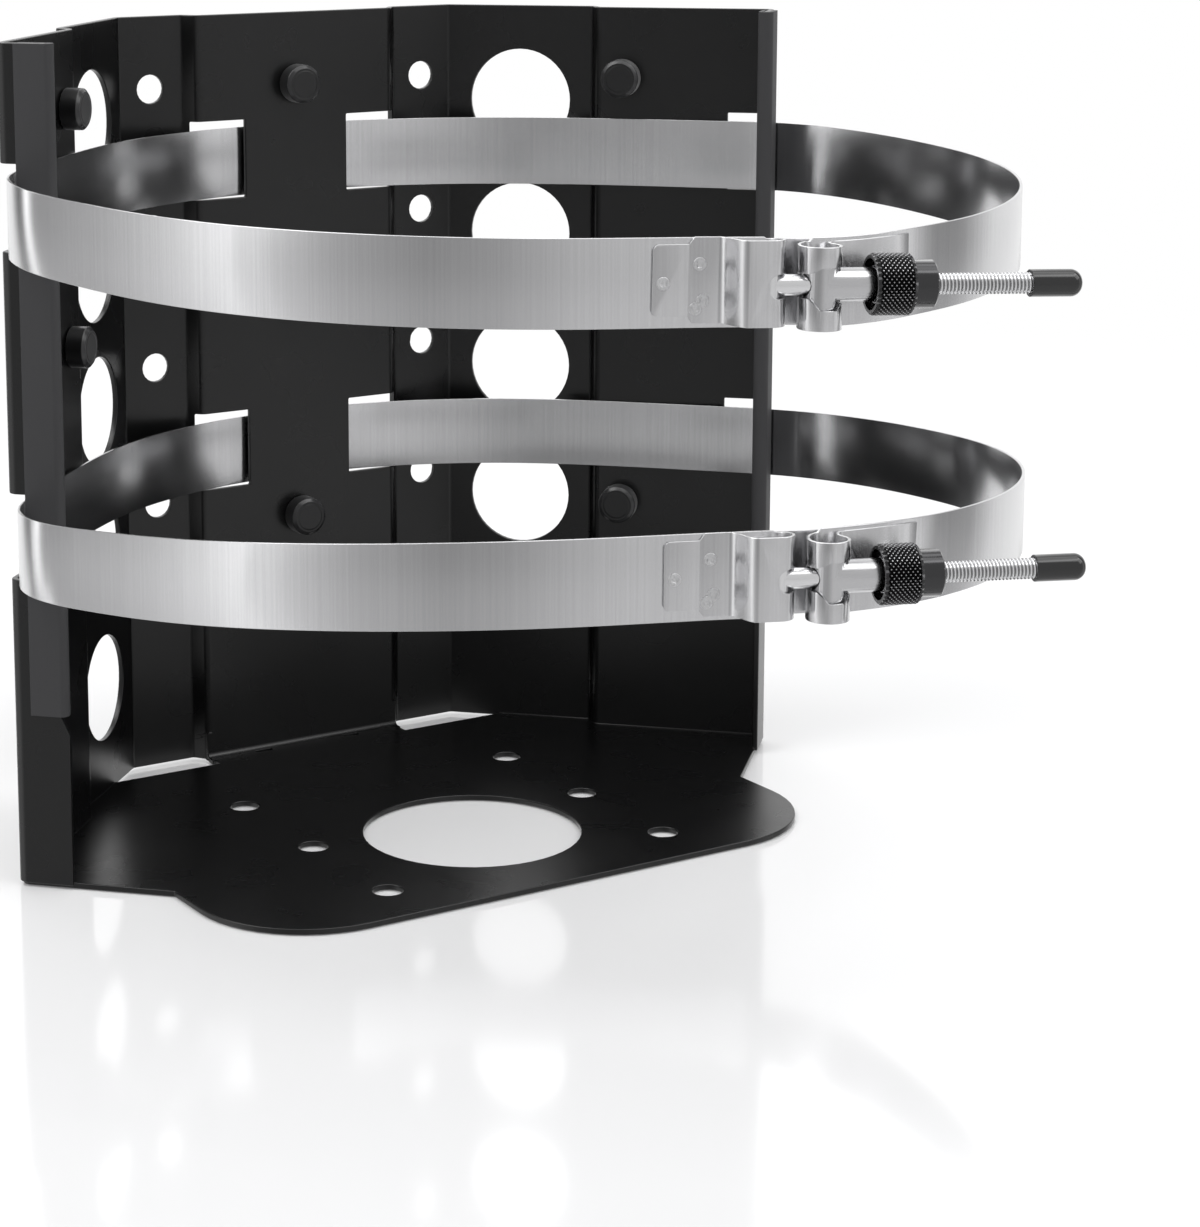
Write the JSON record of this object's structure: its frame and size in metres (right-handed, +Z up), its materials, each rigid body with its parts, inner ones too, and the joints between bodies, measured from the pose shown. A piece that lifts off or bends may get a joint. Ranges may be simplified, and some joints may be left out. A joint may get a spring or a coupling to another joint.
{
  "type": "gas cylinder bracket",
  "caption": "Folded steel bracket with rubber bumpers and two stainless T-bolt bands that hold a steel gas cylinder upright on its base",
  "frame": {"origin": "foot of the held cylinder's axis, on the plane the base plate rests on", "axes": "+Z up along the held cylinder, +Y towards the wall side, +X towards the right-hand wing seen from the open front"},
  "size_m": [0.2482, 0.2768, 0.209],
  "materials": {
    "black_coat": "semi-gloss black powder coat",
    "grey_rubber": "matte grey-black extruded rubber",
    "black_rubber": "matte black moulded rubber",
    "stainless": "fine brushed stainless steel",
    "plated_steel": "bright plated steel",
    "black_metal": "glossy black finish on steel",
    "black_vinyl": "glossy dipped vinyl"
  },
  "bodies": {
    "bracket": {"bracket_shell": "black_coat", "edge_trim_left": "grey_rubber", "edge_trim_right": "grey_rubber", "bumper_left_top": "black_rubber", "bumper_left_middle": "black_rubber", "bumper_left_bottom": "black_rubber", "bumper_center_top": "black_rubber", "bumper_center_middle": "black_rubber", "bumper_center_bottom": "black_rubber", "bumper_right_top": "black_rubber", "bumper_right_middle": "black_rubber", "bumper_right_bottom": "black_rubber", "upper_strap": "stainless", "upper_bridge_tongue": "stainless", "upper_t_bolt": "plated_steel", "upper_trunnion": "stainless", "upper_bolt_cap": "black_vinyl", "lower_strap": "stainless", "lower_bridge_tongue": "stainless", "lower_t_bolt": "plated_steel", "lower_trunnion": "stainless", "lower_bolt_cap": "black_vinyl"},
    "upper_washer": {"upper_thrust_washer": "black_rubber"},
    "upper_nut": {"upper_knurled_nut": "black_metal"},
    "lower_washer": {"lower_thrust_washer": "black_rubber"},
    "lower_nut": {"lower_knurled_nut": "black_metal"}
  },
  "joints": [
    {"name": "upper_nut_travel", "type": "slide", "parent": "bracket", "child": "upper_washer", "axis": [0.9302, -0.3664, -0.0217], "range_m": [0, 0.0193]},
    {"name": "upper_nut_spin", "type": "hinge", "parent": "upper_washer", "child": "upper_nut", "pos_m": [-0.00225, -0.13273, 0.1661], "axis": [0.9302, -0.3664, -0.0217], "range_deg": [0, 8640]},
    {"name": "lower_nut_travel", "type": "slide", "parent": "bracket", "child": "lower_washer", "axis": [0.9304, -0.3665, -0.0052], "range_m": [0, 0.0193]},
    {"name": "lower_nut_spin", "type": "hinge", "parent": "lower_washer", "child": "lower_nut", "pos_m": [0.00136, -0.13273, 0.104], "axis": [0.9304, -0.3665, -0.0052], "range_deg": [0, 8640]}
  ],
  "couplings": [
    {"joint": "upper_nut_travel", "follows": "upper_nut_spin", "m_per_rad": 0.00012732},
    {"joint": "lower_nut_travel", "follows": "lower_nut_spin", "m_per_rad": 0.00012732}
  ]
}
